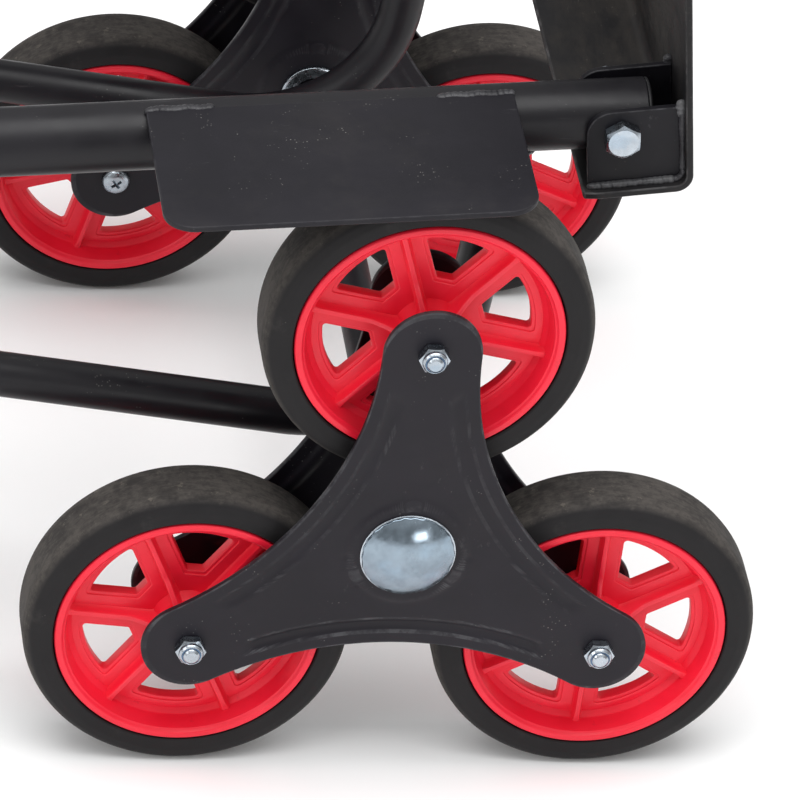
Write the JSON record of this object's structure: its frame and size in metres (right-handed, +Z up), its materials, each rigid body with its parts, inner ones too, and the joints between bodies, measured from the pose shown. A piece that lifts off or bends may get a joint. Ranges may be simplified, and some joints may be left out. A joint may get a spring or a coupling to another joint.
{
  "type": "stair-climbing hand truck",
  "caption": "Stair-climbing hand truck with tri-star wheel sets, tubular frame with bent-back handle, folding toe plate and wheel guards.",
  "frame": {"origin": "on the floor, under the centre of the truck's box, with the truck lying on its wheels and handle", "axes": "+X towards the toe plate, +Y towards the left rail, +Z up, away from the floor"},
  "size_m": [1.2078, 0.4806, 0.5407],
  "materials": {
    "tube_steel": "satin black powder coat",
    "plate_steel": "satin black powder coat, slightly greyer on flat faces",
    "zinc": "bright zinc plate with a bluish cast",
    "tyre": "dull black solid rubber with a brownish dusty tread",
    "red_plastic": "bright red semi-gloss moulded plastic",
    "grip_rubber": "matt black soft rubber",
    "black_plastic": "matt black moulded plastic"
  },
  "bodies": {
    "frame": {"rail_right": "tube_steel", "rail_left": "tube_steel", "rail_plug_right": "black_plastic", "rail_plug_left": "black_plastic", "bow_tube_right": "tube_steel", "bow_tube_left": "tube_steel", "wheel_guard_right": "plate_steel", "wheel_guard_left": "plate_steel", "handle_bolt_right": "zinc", "handle_bolt_left": "zinc", "hub_cap_right": "zinc", "hub_cap_left": "zinc", "hub_washer_right": "zinc", "hub_washer_left": "zinc", "pivot_bolt_right": "zinc", "pivot_bolt_left": "zinc", "pivot_nut_right": "zinc", "pivot_nut_left": "zinc", "cross_bar_lower": "tube_steel", "cross_bar_middle": "tube_steel", "cross_bar_upper": "tube_steel", "handle_bow": "tube_steel", "handle_grip": "grip_rubber", "axle": "tube_steel"},
    "toe": {"toe_plate": "plate_steel", "toe_ear_outer_right": "plate_steel", "toe_ear_outer_left": "plate_steel", "toe_ear_inner_right": "plate_steel", "toe_ear_inner_left": "plate_steel"},
    "star_right": {"star_plate_outer_right": "plate_steel", "star_plate_inner_right": "plate_steel", "star_hub_right": "tube_steel", "wheel_bolt_top_right": "zinc", "wheel_bolt_back_right": "zinc", "wheel_bolt_front_right": "zinc", "wheel_nut_top_right": "zinc", "wheel_nut_back_right": "zinc", "wheel_nut_front_right": "zinc"},
    "wheel_top_right": {"tyre_top_right": "tyre", "rim_top_right": "red_plastic"},
    "wheel_back_right": {"tyre_back_right": "tyre", "rim_back_right": "red_plastic"},
    "wheel_front_right": {"tyre_front_right": "tyre", "rim_front_right": "red_plastic"},
    "star_left": {"star_plate_outer_left": "plate_steel", "star_plate_inner_left": "plate_steel", "star_hub_left": "tube_steel", "wheel_bolt_top_left": "zinc", "wheel_bolt_back_left": "zinc", "wheel_bolt_front_left": "zinc", "wheel_nut_top_left": "zinc", "wheel_nut_back_left": "zinc", "wheel_nut_front_left": "zinc"},
    "wheel_top_left": {"tyre_top_left": "tyre", "rim_top_left": "red_plastic"},
    "wheel_back_left": {"tyre_back_left": "tyre", "rim_back_left": "red_plastic"},
    "wheel_front_left": {"tyre_front_left": "tyre", "rim_front_left": "red_plastic"}
  },
  "joints": [
    {"name": "toe_fold", "type": "hinge", "parent": "frame", "child": "toe", "pos_m": [0.51645, 0, 0.32615], "axis": [0, -1, 0], "range_deg": [0, 87]},
    {"name": "star_right_spin", "type": "hinge", "parent": "frame", "child": "star_right", "pos_m": [0.42494, -0.20205, 0.13646], "axis": [0, 1, 0], "continuous": true},
    {"name": "wheel_top_right_spin", "type": "hinge", "parent": "star_right", "child": "wheel_top_right", "pos_m": [0.42494, -0.20205, 0.25126], "axis": [0, 1, 0], "continuous": true},
    {"name": "wheel_back_right_spin", "type": "hinge", "parent": "star_right", "child": "wheel_back_right", "pos_m": [0.32552, -0.20205, 0.07906], "axis": [0, 1, 0], "continuous": true},
    {"name": "wheel_front_right_spin", "type": "hinge", "parent": "star_right", "child": "wheel_front_right", "pos_m": [0.52436, -0.20205, 0.07906], "axis": [0, 1, 0], "continuous": true},
    {"name": "star_left_spin", "type": "hinge", "parent": "frame", "child": "star_left", "pos_m": [0.42494, 0.20205, 0.13646], "axis": [0, 1, 0], "continuous": true},
    {"name": "wheel_top_left_spin", "type": "hinge", "parent": "star_left", "child": "wheel_top_left", "pos_m": [0.42494, 0.20205, 0.25126], "axis": [0, 1, 0], "continuous": true},
    {"name": "wheel_back_left_spin", "type": "hinge", "parent": "star_left", "child": "wheel_back_left", "pos_m": [0.32552, 0.20205, 0.07906], "axis": [0, 1, 0], "continuous": true},
    {"name": "wheel_front_left_spin", "type": "hinge", "parent": "star_left", "child": "wheel_front_left", "pos_m": [0.52436, 0.20205, 0.07906], "axis": [0, 1, 0], "continuous": true}
  ]
}
